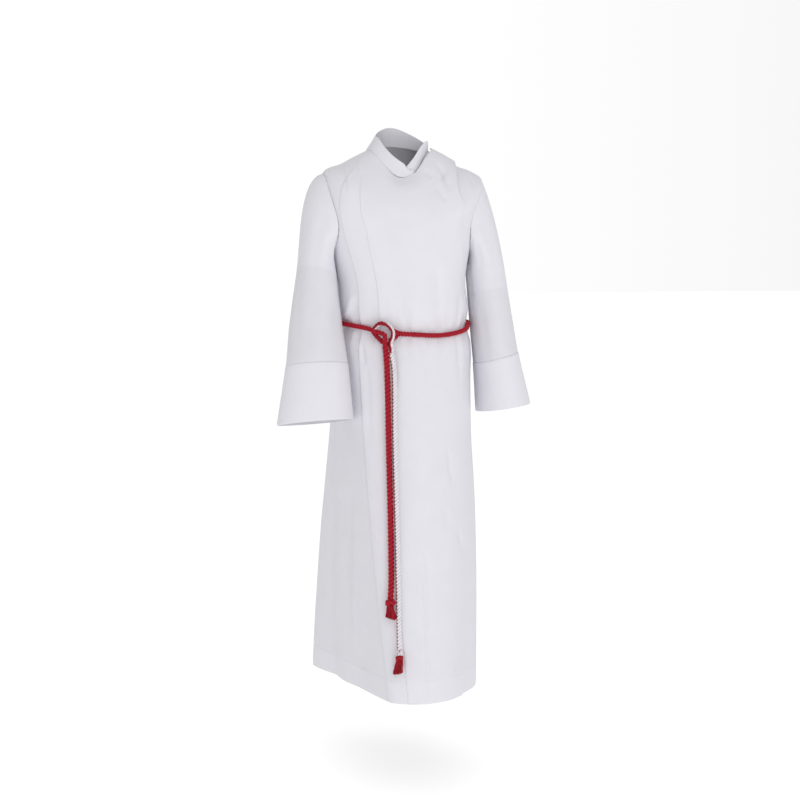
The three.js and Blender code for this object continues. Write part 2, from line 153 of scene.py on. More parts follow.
def onBody(angle, at):
    angle, at = np.broadcast_arrays(np.asarray(angle, float), np.asarray(at, float))
    sin, cos = np.sin(np.radians(angle)), np.cos(np.radians(angle))
    facing = cos > 0

    def value(column):
        return read(bodyLevels, column, at)

    deep = np.where(facing, value("front"), value("back"))
    wide = value("wide")
    bulge = 1 + value("square") * np.sin(2 * np.radians(angle)) ** 2
    x = value("shift") + wide * sin * bulge
    y = -deep * cos * bulge
    flare = np.clip((at - skirtTop) / (hemAt - skirtTop), 0, 1)
    turn = (angle + 126) % 360 - 126
    x = x + (read(hemPlan, "x", turn) - x) * flare
    y = y + (read(hemPlan, "y", turn) - y) * flare
    nx, ny = sin / wide, -cos / deep
    size = np.hypot(nx, ny)
    inward = foldDepth(angle, at)
    x = x - nx / size * inward
    y = y - ny / size * inward
    endZ = np.where(facing, value("frontZ"), value("backZ"))
    z = value("sideZ") + (endZ - value("sideZ")) * np.abs(cos) ** value("dip") - value("roll") * sin
    return np.stack([x, y, z], axis=-1)


def armholeOpen(at):
    cosine = 1 - 2 * (np.clip(at, tipAt, underarmAt) - tipAt) / (underarmAt - tipAt)
    return np.sqrt(np.maximum(1 - cosine * cosine, 0))


def seamAngle(at):
    return np.degrees(seamGap / 2 / read(bodyLevels, "front", at))


def frontEdge(at):
    return sideAngle - armholeFront * armholeOpen(at) - seamAngle(at)


def backEdge(at):
    return sideAngle + armholeBack * armholeOpen(at) + seamAngle(at)


wrapEdges = table("at angle", [
    [0, 97], [42, 97], [52, 88], [66, 66], [84, 49], [104, 41], [134, 38], [175, 38], [228, 42],
    [280, 48], [338, 51], [430, 53], [568, 46], [1173, 47],
])

pleatPaths = table("at outer inner", [
    [0, -66, -52], [60, -60, -48], [103, -55, -41], [150, -53, -36], [200, -52, -32],
    [280, -51, -32], [385, -49, -30], [430, -50, -29], [1173, -43, -22],
])
pleatHigh = 2


# Each runs from (fromX, fromZ) to (toX, toZ). kind 0 is a soft trough, or a ridge where deep is
# negative, and kind 1 a pressed edge that stands up on its wearer's-left side.
frontCreases = table("fromX fromZ toX toZ wide deep kind", [
    [69, -35, 88, -85, 5, 2.4, 0],
    [60, -82, 79, -108, 5, 1.6, 0],
    [44, -50, 53, -63, 6, 2.0, 0],
    [138, -52, 146, -76, 4, 1.6, 0],
    [-116, -40, -114, -92, 4, 1.4, 1],
    [-91, -30, -88, -50, 4, 1.2, 1],
    [60, -236, 62, -356, 13, 2.6, 0],
    [80, -330, 81, -356, 5, 1.8, 0],
    [-104, -296, -112, -342, 5, -3.2, 0],
    [-88, -392, -85, -432, 4, 3.0, 0],
    [-80, -420, -76, -590, 6, 1.8, 0],
    [18, -800, 25, -905, 5, 2.4, 0],
    [25, -905, 27, -1058, 5, 2.2, 0],
    [77, -598, 85, -668, 5, 2.0, 0],
    [70, -722, 72, -756, 6, 1.5, 0],
    [100, -770, 112, -812, 5, 1.8, 0],
    [-118, -704, -112, -782, 5, 2.2, 0],
    [-101, -726, -93, -1020, 5, 2.6, 1],
    [-80, -1028, -78, -1062, 4, 1.4, 0],
    [-30, -400, -26, -470, 6, 1.6, 0],
    [30, -392, 36, -450, 6, 1.5, 0],
    [104, -390, 110, -470, 6, 1.8, 0],
    [-10, -345, -14, -300, 8, 1.2, 0],
    [108, -340, 112, -286, 6, 1.8, 0],
])


creaseSettings = {"strength": 1.5, "fadeBefore": 0.18, "fadeWithin": 0.2}  # fades are shares of the length


def frontCreaseDepth(points):
    before, within = creaseSettings["fadeBefore"], creaseSettings["fadeWithin"]
    x, y, z = points[..., 0], points[..., 1], points[..., 2]
    total = np.zeros(x.shape)
    facing = ramp(-y, -60, -10)
    for fromX, fromZ, toX, toZ, wide, deep, kind in zip(*frontCreases.values()):
        span = math.hypot(toX - fromX, toZ - fromZ)
        alongX, alongZ = (toX - fromX) / span, (toZ - fromZ) / span
        along = (x - fromX) * alongX + (z - fromZ) * alongZ
        off = (x - fromX) * -alongZ + (z - fromZ) * alongX
        fade = ramp(along, -before * span, within * span)
        fade = fade * (1 - ramp(along, (1 - within) * span, (1 + before) * span))
        if kind:
            shape = -ramp(off, -0.6, 0.6) * np.exp(-np.maximum(off, 0) / (3 * wide))
        else:
            shape = np.exp(-(off / wide) ** 2)
        total = total + creaseSettings["strength"] * deep * fade * shape
    return total * facing


gatherSettings = {"reach": 26, "deep": 1.5}
swellSettings = {"angle": 88, "wide": 24, "out": 5.5, "outAt": 474, "outLong": 42,
                 "in": 5.0, "inAt": 660, "inLong": 90}


def gathers(angle, at):  # little tucks that the cincture draws up
    away = np.abs(at - beltLevel)
    near = np.exp(-away / gatherSettings["reach"]) * ramp(away, 1, 9)
    wave = (np.sin(np.radians(angle * 23 + 40)) + 0.7 * np.sin(np.radians(angle * 37 + 110))
            + 0.5 * np.sin(np.radians(angle * 11 + 20)))
    return gatherSettings["deep"] * near * wave


def softWaves(angle, at):  # the slight unevenness of hanging cloth
    a = np.radians(angle)
    s = swellSettings
    side = np.exp(-((angle - s["angle"]) / s["wide"]) ** 2)
    swell = side * (s["out"] * np.exp(-((at - s["outAt"]) / s["outLong"]) ** 2)
                    - s["in"] * np.exp(-((at - s["inAt"]) / s["inLong"]) ** 2))
    return swell + (0.55 * np.sin(3 * a + at / 71) * np.sin(at / 93 + 1.3)
            + 0.35 * np.sin(7 * a - at / 113 + 0.6) + 0.18 * np.sin(17 * a + at / 47)) * ramp(at, 60, 200)


print("tables ready")


def setValues(mesh, name, values):
    layer = mesh.attributes.new(name, "FLOAT", "POINT")
    layer.data.foreach_set("value", np.asarray(values, np.float32))


def makeMesh(name, vertices, faces, cornerUv=None, tones=None):
    mesh = bpy.data.meshes.new(name)
    mesh.from_pydata([tuple(v) for v in vertices], [], [tuple(f) for f in faces])
    if cornerUv is not None:
        layer = mesh.uv_layers.new(name="cut")
        layer.data.foreach_set("uv", np.asarray(cornerUv, np.float32).ravel())
    if tones is not None:
        setValues(mesh, "tone", tones)
    mesh.update()
    made = bpy.data.objects.new(name, mesh)
    bpy.context.scene.collection.objects.link(made)
    made.data.shade_smooth()
    return made


def gridNormals(points, tube):
    if tube:
        alongU = np.roll(points, -1, axis=1) - np.roll(points, 1, axis=1)
    else:
        alongU = np.gradient(points, axis=1)
    alongV = np.gradient(points, axis=0)
    normal = np.cross(alongV, alongU)
    return normal / np.maximum(np.linalg.norm(normal, axis=-1, keepdims=True), 1e-9)


sharpEdge = 50  # degrees at which cloth folds over


def clothPiece(name, points, outer, inner, tones, tube=False, flip=1):
    # points is a grid of places in millimetres, rows from the top down; outer and inner are offsets
    normal = gridNormals(points, tube) * flip
    outside = points + normal * outer[..., None]
    inside = points + normal * inner[..., None]
    rows, columns = points.shape[:2]
    size = rows * columns
    spans = columns if tube else columns - 1
    j, i = np.meshgrid(np.arange(rows - 1), np.arange(spans), indexing="ij")
    a = (j * columns + i).ravel()
    b = (j * columns + (i + 1) % columns).ravel()
    c, d = b + columns, a + columns
    # u and v are the cloth's own measures in metres, for the weave
    closed = np.concatenate([points, points[:, :1]], axis=1) if tube else points
    across = np.linalg.norm(np.diff(closed, axis=1), axis=-1).mean(axis=0)
    down = np.linalg.norm(np.diff(points, axis=0), axis=-1).mean(axis=1)
    u = np.concatenate([[0], np.cumsum(across)]) * mm
    v = -np.concatenate([[0], np.cumsum(down)]) * mm
    ia, ja = i.ravel(), j.ravel()
    faceUv = np.stack([np.stack([u[ia], v[ja]], -1), np.stack([u[ia + 1], v[ja]], -1),
                       np.stack([u[ia + 1], v[ja + 1]], -1), np.stack([u[ia], v[ja + 1]], -1)], axis=1)
    order = (0, 3, 2, 1) if flip > 0 else (0, 1, 2, 3)
    other = (0, 1, 2, 3) if flip > 0 else (0, 3, 2, 1)
    corners = np.stack([a, b, c, d], axis=1)
    faces = [corners[:, order], corners[:, other] + size]
    uvs = [faceUv[:, order], faceUv[:, other]]

    def rim(first, second, uvFirst, uvSecond, turned):
        quad = np.stack([first, second, second + size, first + size], axis=1)
        uv = np.stack([uvFirst, uvSecond, uvSecond, uvFirst], axis=1)
        if turned:
            quad, uv = quad[:, ::-1], uv[:, ::-1]
        faces.append(quad)
        uvs.append(uv)

    k = np.arange(spans)
    top, nextTop = k, (k + 1) % columns
    low = (rows - 1) * columns
    rim(top, nextTop, np.stack([u[k], np.full(spans, v[0])], -1),
        np.stack([u[k + 1], np.full(spans, v[0])], -1), flip < 0)
    rim(low + top, low + nextTop, np.stack([u[k], np.full(spans, v[-1])], -1),
        np.stack([u[k + 1], np.full(spans, v[-1])], -1), flip > 0)
    if not tube:
        m = np.arange(rows - 1)
        left, right = m * columns, m * columns + columns - 1
        rim(left, left + columns, np.stack([np.full(rows - 1, u[0]), v[m]], -1),
            np.stack([np.full(rows - 1, u[0]), v[m + 1]], -1), flip > 0)
        rim(right, right + columns, np.stack([np.full(rows - 1, u[-1]), v[m]], -1),
            np.stack([np.full(rows - 1, u[-1]), v[m + 1]], -1), flip < 0)
    vertices = np.concatenate([outside.reshape(-1, 3), inside.reshape(-1, 3)]) * mm
    made = makeMesh(name, vertices, np.concatenate(faces), np.concatenate(uvs),
                    np.concatenate([tones.ravel(), tones.ravel()]))
    made.data.set_sharp_from_angle(angle=math.radians(sharpEdge))
    return {"piece": made, "outside": outside, "normal": normal}


def edgeDistance(points):  # how far each place is from its row's first place and from its last
    steps = np.linalg.norm(np.diff(points, axis=1), axis=-1)
    fromFirst = np.concatenate([np.zeros((points.shape[0], 1)), np.cumsum(steps, axis=1)], axis=1)
    return fromFirst, fromFirst[:, -1:] - fromFirst


def nodeGroup(name, inputs, outputs):
    group = bpy.data.node_groups.new(name, "ShaderNodeTree")
    for label, kind, value in inputs:
        socket = group.interface.new_socket(name=label, in_out="INPUT", socket_type=kind)
        if value is not None:
            socket.default_value = value
    for label, kind in outputs:
        group.interface.new_socket(name=label, in_out="OUTPUT", socket_type=kind)
    return group, group.nodes.new("NodeGroupInput"), group.nodes.new("NodeGroupOutput")


def mathNode(tree, operation, first, second=None, third=None):
    node = tree.nodes.new("ShaderNodeMath")
    node.operation = operation
    for socket, value in zip(node.inputs, (first, second, third)):
        if value is None:
            continue
        if isinstance(value, (int, float)):
            socket.default_value = value
        else:
            tree.links.new(value, socket)
    return node.outputs[0]


def noiseNode(tree, scale, detail, place):
    node = tree.nodes.new("ShaderNodeTexNoise")
    node.inputs["Scale"].default_value = scale
    node.inputs["Detail"].default_value = detail
    tree.links.new(place, node.inputs["Vector"])
    return node.outputs[0]


def mixNode(tree, share, first, second):
    node = tree.nodes.new("ShaderNodeMix")
    node.data_type = "RGBA"
    tree.links.new(share, node.inputs[0])
    for socket, colour in ((node.inputs[6], first), (node.inputs[7], second)):
        if isinstance(colour, tuple):
            socket.default_value = (*colour, 1)
        else:
            tree.links.new(colour, socket)
    return node.outputs[2]


def addBump(tree, shader, strength, distance, height):
    node = tree.nodes.new("ShaderNodeBump")
    node.inputs["Strength"].default_value = strength
    node.inputs["Distance"].default_value = distance
    tree.links.new(height, node.inputs["Height"])
    tree.links.new(node.outputs[0], shader.inputs["Normal"])


def buildWeave():  # plain weave over a UV map in metres, with slubs and a faint unevenness
    tree, given, result = nodeGroup(
        "plain weave",
        [("UV", "NodeSocketVector", None), ("Threads", "NodeSocketFloat", 1800.0)],
        [("Height", "NodeSocketFloat"), ("Shade", "NodeSocketFloat")])
    split = tree.nodes.new("ShaderNodeSeparateXYZ")
    tree.links.new(given.outputs["UV"], split.inputs[0])
    across = mathNode(tree, "MULTIPLY", split.outputs[0], given.outputs["Threads"])
    along = mathNode(tree, "MULTIPLY", split.outputs[1], given.outputs["Threads"])
    product = mathNode(tree, "MULTIPLY", mathNode(tree, "SINE", across), mathNode(tree, "SINE", along))
    stretch = tree.nodes.new("ShaderNodeMapping")
    stretch.inputs["Scale"].default_value = (900, 60, 1)
    tree.links.new(given.outputs["UV"], stretch.inputs[0])
    slub = noiseNode(tree, 1.0, 2.0, stretch.outputs[0])
    cloud = noiseNode(tree, 22.0, 3.0, given.outputs["UV"])
    height = mathNode(tree, "ADD", mathNode(tree, "MULTIPLY", product, 0.5),
                      mathNode(tree, "MULTIPLY", slub, 0.7))
    shade = mathNode(tree, "ADD", mathNode(tree, "MULTIPLY", cloud, 0.05),
                     mathNode(tree, "MULTIPLY", slub, 0.04))
    tree.links.new(height, result.inputs["Height"])
    tree.links.new(mathNode(tree, "ADD", shade, 0.955), result.inputs["Shade"])
    return tree


def newMaterial(name):
    material = bpy.data.materials.new(name)
    material.use_nodes = True
    tree = material.node_tree
    return material, tree, tree.nodes["Principled BSDF"]


def attributeValue(tree, name):
    node = tree.nodes.new("ShaderNodeAttribute")
    node.attribute_name = name
    return node.outputs["Fac"]


def buildClothMaterial(weave, name, colour):
    material, tree, shader = newMaterial(name)
    uv = tree.nodes.new("ShaderNodeUVMap")
    uv.uv_map = "cut"
    cloth = tree.nodes.new("ShaderNodeGroup")
    cloth.node_tree = weave
    tree.links.new(uv.outputs[0], cloth.inputs["UV"])
    tone = mathNode(tree, "MULTIPLY", attributeValue(tree, "tone"), cloth.outputs["Shade"])
    paint = tree.nodes.new("ShaderNodeVectorMath")
    paint.operation = "SCALE"
    paint.inputs[0].default_value = colour
    tree.links.new(tone, paint.inputs["Scale"])
    tree.links.new(paint.outputs[0], shader.inputs["Base Color"])
    addBump(tree, shader, 0.25, 0.0003, cloth.outputs["Height"])
    shader.inputs["Roughness"].default_value = 0.82
    shader.inputs["Specular IOR Level"].default_value = 0.25
    shader.inputs["Sheen Weight"].default_value = 0.12
    shader.inputs["Sheen Roughness"].default_value = 0.5
    return material


def buildRopeMaterial(name, light, grooveShade, other=None):
    # the groove value is 0 on a strand's crown and 1 between strands, where it darkens the colour as painted
    # shade (on tassel strands it also carries a random tone); side is 1 where the other colour shows
    material, tree, shader = newMaterial(name)
    fibre = noiseNode(tree, 1400, 3, tree.nodes.new("ShaderNodeTexCoord").outputs["Object"])
    # painted shade: the colour goes towards the dark one in the grooves between strands, with a little fibre
    # noise
    deep = mathNode(tree, "MULTIPLY_ADD", attributeValue(tree, "groove_shade_and_strand_tone"), 0.85,
                    mathNode(tree, "MULTIPLY", fibre, 0.3))
    colour = mixNode(tree, deep, light, grooveShade)
    if other:
        # painted shade in the grooves of the other colour too
        otherGrooveShade = (other[0] * 0.55, other[1] * 0.5, other[2] * 0.55)
        colour = mixNode(tree, attributeValue(tree, "side"), colour, mixNode(tree, deep, other, otherGrooveShade))
    tree.links.new(colour, shader.inputs["Base Color"])
    addBump(tree, shader, 0.4, 0.0004, fibre)
    shader.inputs["Roughness"].default_value = 0.5
    shader.inputs["Specular IOR Level"].default_value = 0.22
    shader.inputs["Sheen Weight"].default_value = 0.03
    return material


weave = buildWeave()
clothMaterial = buildClothMaterial(weave, "white cloth", (0.76, 0.752, 0.80))
threadMaterial = buildClothMaterial(weave, "white thread", (0.80, 0.795, 0.84))
redRope = buildRopeMaterial("red rope", (0.5, 0.004, 0.022), (0.06, 0.0, 0.003))
pairedRope = buildRopeMaterial("red and white rope", (0.40, 0.004, 0.018), (0.06, 0.0, 0.003),
                               (0.9, 0.88, 0.9))
print("materials ready")


panelSettings = {"rowStep": 4.0, "skirtStep": 5.2, "fineStep": 2.4, "fineFrom": 396, "fineTo": 466,
                 "seamDitch": 0.7, "seamWide": 2.6, "neckFade": 45, "hemTone": 1.02, "hemDitch": 0.7,
                 "hemBand": 6}
wrapSettings = {"riseFrom": 26, "riseTo": 3, "shoulderFrom": 20, "shoulderTo": 55,
                "fadeFrom": 70, "fadeTo": 150}


def panelRows(settings):
    turns = np.radians(np.linspace(0, 180, 46))
    fineFrom, fineTo = settings["fineFrom"], settings["fineTo"]
    foldFrom, foldTo = hemAt - hemDeep - settings["hemBand"], hemAt - hemDeep + settings["hemBand"]
    return np.unique(np.concatenate([
        np.arange(0, tipAt, settings["rowStep"]), tipAt + (underarmAt - tipAt) * (1 - np.cos(turns)) / 2,
        np.arange(underarmAt, fineFrom, settings["rowStep"]),
        np.arange(fineFrom, fineTo, settings["fineStep"]),
        np.arange(fineTo, foldFrom, settings["skirtStep"]), np.arange(foldFrom, foldTo, 1.5),
        np.linspace(foldTo, hemAt, 12)]))


rows = panelRows(panelSettings)


def wrapLift(angle, at):
    s = wrapSettings
    rise = ramp(angle, underFrontAngle - s["riseFrom"], underFrontAngle - s["riseTo"])
    return ((2 * clothWall + lapGap) * rise
            + shoulderHigh * ramp(angle, s["shoulderFrom"], s["shoulderTo"])
            * (1 - ramp(at, s["fadeFrom"], s["fadeTo"])))


def pleatLift(angle, at):
    total = 0
    for column in ("outer", "inner"):
        off = angle - read(pleatPaths, column, at)
        share = 1 if column == "outer" else 0.75
        stand = pleatHigh * ramp(off, 0, 0.7) * (1 - ramp(off, 0.7, 16))
        total = total + share * np.where(off > 0, stand, -0.25 * np.exp(-(off / 2.5) ** 2) * (off > -8))
    return total * ramp(at, 40, 120)


def hemInner(at):
    return np.where(at > hemAt - hemDeep, -1.5 * clothWall, -0.5 * clothWall)


def bodyPiece(name, angleColumns, lift, startAt=None, freeEdge=False):
    s = panelSettings
    angle = np.array([angleColumns(at) for at in rows])
    at = np.repeat(rows[:, None], angle.shape[1], axis=1)
    level = at if startAt is None else at + startAt(angle) * (1 - ramp(at, 0, s["neckFade"]))
    points = onBody(angle, level)
    fromFirst, fromLast = edgeDistance(points)
    small = softWaves(angle, at) + gathers(angle, at) - frontCreaseDepth(points)
    stand = lift(angle, at) + small
    seam = np.exp(-(fromFirst / s["seamWide"]) ** 2)
    if not freeEdge:
        seam = seam + np.exp(-(fromLast / s["seamWide"]) ** 2)
    hemLine = np.exp(-((at - (hemAt - hemDeep)) / 1.8) ** 2)
    foot = np.exp(-((hemAt - at) / 1.6) ** 2)
    outer = 0.5 * clothWall + stand - s["seamDitch"] * seam - s["hemDitch"] * hemLine - 0.5 * foot
    tones = 1 + (s["hemTone"] - 1) * ramp(at, hemAt - hemDeep - 1, hemAt - hemDeep + 1)
    return clothPiece(name, points, outer, hemInner(at) + stand, tones)


def rightColumns(at):
    side = -frontEdge(at)
    outer = max(float(read(pleatPaths, "outer", at)), side + 2)
    inner = float(read(pleatPaths, "inner", at))
    edge = float(read(wrapEdges, "angle", at))
    return np.concatenate([
        np.linspace(side, outer - 0.05, 24), outer + np.array([0.25, 0.5, 0.75]),
        np.linspace(outer + 1.2, inner - 0.05, 18), inner + np.array([0.25, 0.5, 0.75]),
        np.linspace(inner + 1.2, edge, 88)])


frontRight = bodyPiece("frontRight", rightColumns, lambda a, t: wrapLift(a, t) + pleatLift(a, t),
                       startAt=lambda a: wrapNeck * ramp(a, 16, 26), freeEdge=True)
frontLeft = bodyPiece("frontLeft", lambda at: np.linspace(underFrontAngle, frontEdge(at), 60),
                      lambda a, t: 0 * a)
backPanel = bodyPiece("backPanel", lambda at: np.linspace(backEdge(at), 360 - backEdge(at), 150),
                      lambda a, t: 0 * a)
print("body panels made")


armRight = table("at x y z out fore tilt", [
    [0, 168, -12, -250, 40, 50, 0], [110, 175, -40, -358, 53, 46, -2],
    [185, 177, -64, -434, 62, 44, -4], [305, 184, -84, -546, 76, 46, -9],
])
armLeft = table("at x y z out fore tilt", [
    [0, 183, -8, -250, 39, 50, 0], [110, 194, -12, -345, 42.5, 56, 2],
    [185, 204, -16, -426, 45, 62, 5], [295, 219, -20, -528, 55, 70, 0],
])
sleeveSettings = {
    "capGap": 0.1, "capLong": 180, "cuffLine": 185, "around": 120, "puckers": 26, "puckerDeep": 0.5,
    "right": {"arm": armRight, "side": -1, "drop": 0.2, "firm": 0.75, "shirtTo": -0.02, "shirtSlope": -8},
    "left": {"arm": armLeft, "side": 1, "drop": 2.4, "firm": 0.9, "shirtTo": 42, "shirtSlope": 0},
    "bareTone": 0.962, "cuffTone": 1.02,
}


def unit(vectors):
    return vectors / np.maximum(np.linalg.norm(vectors, axis=-1, keepdims=True), 1e-9)


def dot(a, b):
    return np.sum(a * b, axis=-1, keepdims=True)


def armSection(arm, side, at, around):
    at, around = np.broadcast_arrays(np.asarray(at, float), np.asarray(around, float))

    def centre(place):
        return np.stack([side * read(arm, "x", place), read(arm, "y", place), read(arm, "z", place)], axis=-1)

    mouth = arm["at"][-1]
    along = unit(centre(np.minimum(at + 1, mouth)) - centre(np.maximum(at - 1, 0)))
    out = np.broadcast_to(np.array([side, 0.0, 0.0]), along.shape)
    out = unit(out - along * dot(out, along))
    fore = np.broadcast_to(np.array([0.0, -1.0, 0.0]), along.shape)
    fore = unit(fore - along * dot(fore, along) - out * dot(fore, out))
    point = (centre(at) + out * (read(arm, "out", at) * np.cos(around))[..., None]
             + fore * (read(arm, "fore", at) * np.sin(around))[..., None])
    point[..., 2] += read(arm, "tilt", at) * np.cos(around)
    return point


def onSleeve(which, row, around):
    arm, side = which["arm"], which["side"]
    row, around = np.broadcast_arrays(np.asarray(row, float), np.asarray(around, float))
    t = (np.minimum(row, 0) + 1)[..., None]
    low = (1 - np.cos(around)) / 2
    drop = which["drop"] + (1.2 - which["drop"]) * np.sqrt(low)
    leave = unit(np.stack([np.full(low.shape, float(side)), np.zeros(low.shape), -drop], axis=-1))
    at = tipAt + (underarmAt - tipAt) * low
    sin = np.sin(around)
    angle = sideAngle - np.where(sin > 0, armholeFront, armholeBack) * sin
    start = onBody(side * angle, at) + np.array([side, 0, -0.3]) * sleeveSettings["capGap"]
    end = armSection(arm, side, np.zeros(around.shape), around)
    arrive = unit(armSection(arm, side, np.full(around.shape, 4.0), around) - end)
    reach = np.linalg.norm(end - start, axis=-1, keepdims=True)
    t2, t3 = t * t, t * t * t
    firm = (which["firm"] + (0.6 - which["firm"]) * low)[..., None]
    cap = (start * (2 * t3 - 3 * t2 + 1) + leave * (t3 - 2 * t2 + t) * reach * firm
           + end * (3 * t2 - 2 * t3) + arrive * (t3 - t2) * reach * 0.9)
    below = armSection(arm, side, np.maximum(row, 0), around)
    return np.where(row[..., None] >= 0, below, cap)


# Soft folds of the sleeves: where each starts and ends along the arm, where it lies round it in degrees
sleeveFolds = table("fromRow toRow fromTurn toTurn wide deep", [
    [-0.95, 60, 62, 78, 16, 2.0], [-0.8, 0.2, 110, 118, 12, 1.6], [40, 185, 96, 84, 14, -1.8],
    [60, 185, 132, 128, 12, 1.6], [30, 150, 30, 44, 14, 1.5], [-0.5, 120, 235, 240, 16, 2.2],
    [20, 185, 290, 280, 16, -2.0], [90, 185, 320, 322, 12, 1.6], [-0.6, 90, 165, 160, 10, 2.2],
])


def armReach(row):  # rows of the cap run from -1 to 0, and count about as far as they reach
    return np.where(row < 0, row * sleeveSettings["capLong"], row)


def sleeveFoldDepth(row, turn):
    span = armReach(row)
    total = np.zeros(row.shape)
    for start, stop, first, last, wide, deep in zip(*sleeveFolds.values()):
        low, high = armReach(start), armReach(stop)
        along = np.clip((span - low) / (high - low), 0, 1)
        fade = ramp(along, 0, 0.25) * (1 - ramp(along, 0.75, 1))
        off = ((turn - (first + (last - first) * along) + 180) % 360 - 180) / wide
        total = total + deep * fade * np.exp(-off * off)
    return total


def sleevePiece(name, which, sleeveRows, outer, inner, tones):
    s = sleeveSettings
    around = np.linspace(0, 2 * math.pi, s["around"] + 1)[:-1]
    row, turn = np.meshgrid(sleeveRows, around, indexing="ij")
    points = onSleeve(which, row, turn)
    degrees = np.degrees(turn)
    pucker = s["puckerDeep"] * np.exp(-(row + 1) / 0.06) * np.sin(turn * s["puckers"]) * (row < 0)
    small = -sleeveFoldDepth(row, degrees) * (row < s["cuffLine"] + 1) + pucker
    return clothPiece(name, points, outer(row) + small, inner(row) + small, tones(row, degrees),
                      tube=True, flip=-which["side"])


def buildSleeve(label):
    which = sleeveSettings[label]
    line = sleeveSettings["cuffLine"]
    mouth = which["arm"]["at"][-1]
    upper = np.concatenate([-1 + np.array([0, 0.012, 0.03]), np.linspace(-0.95, -0.03, 40),
                            np.linspace(0, line - 4, 60), np.array([line - 2.6, line - 1.4, line - seamGap])])

    def ditch(row):
        return 0.8 * np.exp(-((row + 1) / 0.018) ** 2) + 0.6 * np.exp(-((row - line) / 2.2) ** 2)

    def sleeveTone(row, degrees):
        edge = which["shirtTo"] + which["shirtSlope"] * np.cos(np.radians(degrees))
        reach = armReach(row)
        return 1 + (sleeveSettings["bareTone"] - 1) * ramp(reach, edge - 3, edge + 3)

    sleeve = sleevePiece("sleeve" + label.capitalize(), which, upper,
                         lambda row: 0.5 * clothWall - ditch(row),
                         lambda row: -0.5 * clothWall + 0 * row, sleeveTone)
    band = np.concatenate([[line, line + 0.8, line + 2], np.linspace(line + 5, mouth - 3, 34),
                           [mouth - 1.2, mouth]])

    def rounded(row):
        ends = np.exp(-((row - line) / 1.0) ** 2) + np.exp(-((row - mouth) / 1.0) ** 2)
        return 0.5 * ends + 0.5 * np.exp(-((row - line - 7) / 1.1) ** 2)

    cuff = sleevePiece("cuff" + label.capitalize(), which, band,
                       lambda row: 0.6 * doubled - rounded(row), lambda row: -0.4 * doubled + 0 * row,
                       lambda row, degrees: np.full(row.shape, sleeveSettings["cuffTone"]))
    return sleeve, cuff


sleeveRight, cuffRight = buildSleeve("right")
sleeveLeft, cuffLeft = buildSleeve("left")
print("sleeves made")


collarTurn = table("at high lean lift", [
    [-20, 3, 0, 4], [-10, 11, 1, 4], [0, 27, 3, 3.5], [20, 34, 5, 1], [45, 30, 10, 0],
    [90, 26, 18, 0], [135, 32, 14, 0], [180, 36, 6, 0], [225, 26, 2, 0], [270, 12, 0, 0],
    [295, 22, 0, -1], [320, 29, 1, -2.4], [334, 28, 2, -2.5], [346, 26, 2, -2.6], [354, 21, 2, -2.8],
    [362, 14, 2, -2.8],
])
collarSettings = {"foot": 1.6, "footDown": 1.0, "columns": 190, "rows": 18}


def buildCollar(settings):
    turns = np.linspace(collarTurn["at"][0], collarTurn["at"][-1], settings["columns"])
    rises = np.linspace(0, 1, settings["rows"])
    rise, at = np.meshgrid(rises, turns, indexing="ij")
    foot = onBody(-at, 0 * at)
    outward = unit(np.stack([foot[..., 0], foot[..., 1], 0 * at], axis=-1))
    lift = read(collarTurn, "lift", at)
    lean = rise * read(collarTurn, "lean", at)
    up = (settings["foot"] + np.maximum(lift, 0) * 0.9 - settings["footDown"] * (1 - ramp(rise, 0, 0.2))
          + rise * read(collarTurn, "high", at))
    points = foot + outward * (np.minimum(lift, lift * 0.3) - lean)[..., None]
    points[..., 2] += up
    fold = 0.6 * np.exp(-((1 - rise) / 0.05) ** 2) + 0.35 * np.exp(-((rise - 0.86) / 0.03) ** 2)
    wave = 0.4 * np.sin(np.radians(at * 3)) * rise
    outer = 0.5 * doubled - fold + wave
    inner = -0.5 * doubled + 0.5 * fold + wave
    return clothPiece("collarBand", points, outer, inner, np.ones(at.shape))


collar = buildCollar(collarSettings)
print("collar made")


stitchSettings = {"long": 2.5, "gap": 1.1, "thick": 0.34, "stand": 0.05}


def resample(points, step):
    points = np.asarray(points, float)
    lengths = np.concatenate([[0], np.cumsum(np.linalg.norm(np.diff(points, axis=0), axis=1))])
    count = max(int(round(lengths[-1] / step)), 2)
    places = np.linspace(0, lengths[-1], count + 1)
    return np.stack([np.interp(places, lengths, points[:, k]) for k in range(3)], axis=1)


def stitchLine(name, lines):  # lines are (places, outward directions) in millimetres
    s = stitchSettings
    vertices, faces = [], []
    for places, outward in lines:
        joined = np.concatenate([places, outward], axis=1)
        step = s["long"] + s["gap"]
        lengths = np.concatenate([[0], np.cumsum(np.linalg.norm(np.diff(places, axis=0), axis=1))])
        for start in np.arange(1, lengths[-1] - step, step):
            first = np.array([np.interp(start, lengths, joined[:, k]) for k in range(6)])
            last = np.array([np.interp(start + s["long"], lengths, joined[:, k]) for k in range(6)])
            out = unit(first[3:] + last[3:])
            along = unit(last[:3] - first[:3])
            aside = np.cross(along, out)
            base = len(vertices)
            lift = out * s["stand"]
            for t, wide in ((0, 0.25), (0.25, 1), (0.75, 1), (1, 0.25)):
                middle = first[:3] + (last[:3] - first[:3]) * t + lift
                for k in range(6):
                    turn = k * math.pi / 3
                    spoke = aside * math.cos(turn) + out * math.sin(turn)
                    vertices.append(middle + spoke * s["thick"] / 2 * wide)
            for band in range(3):
                for k in range(6):
                    a, b = base + band * 6 + k, base + band * 6 + (k + 1) % 6
                    faces.append((a, a + 6, b + 6, b))
            faces.append(tuple(base + k for k in range(6)))
            faces.append(tuple(base + 18 + k for k in reversed(range(6))))
    cornerUv = np.zeros((sum(len(f) for f in faces), 2))
    made = makeMesh(name, np.array(vertices) * mm, faces, cornerUv, np.ones(len(vertices)))
    made.data.materials.append(threadMaterial)
    return made


def rowNear(piece, at):
    k = int(np.argmin(np.abs(rows - at)))
    return piece["outside"][k], piece["normal"][k]


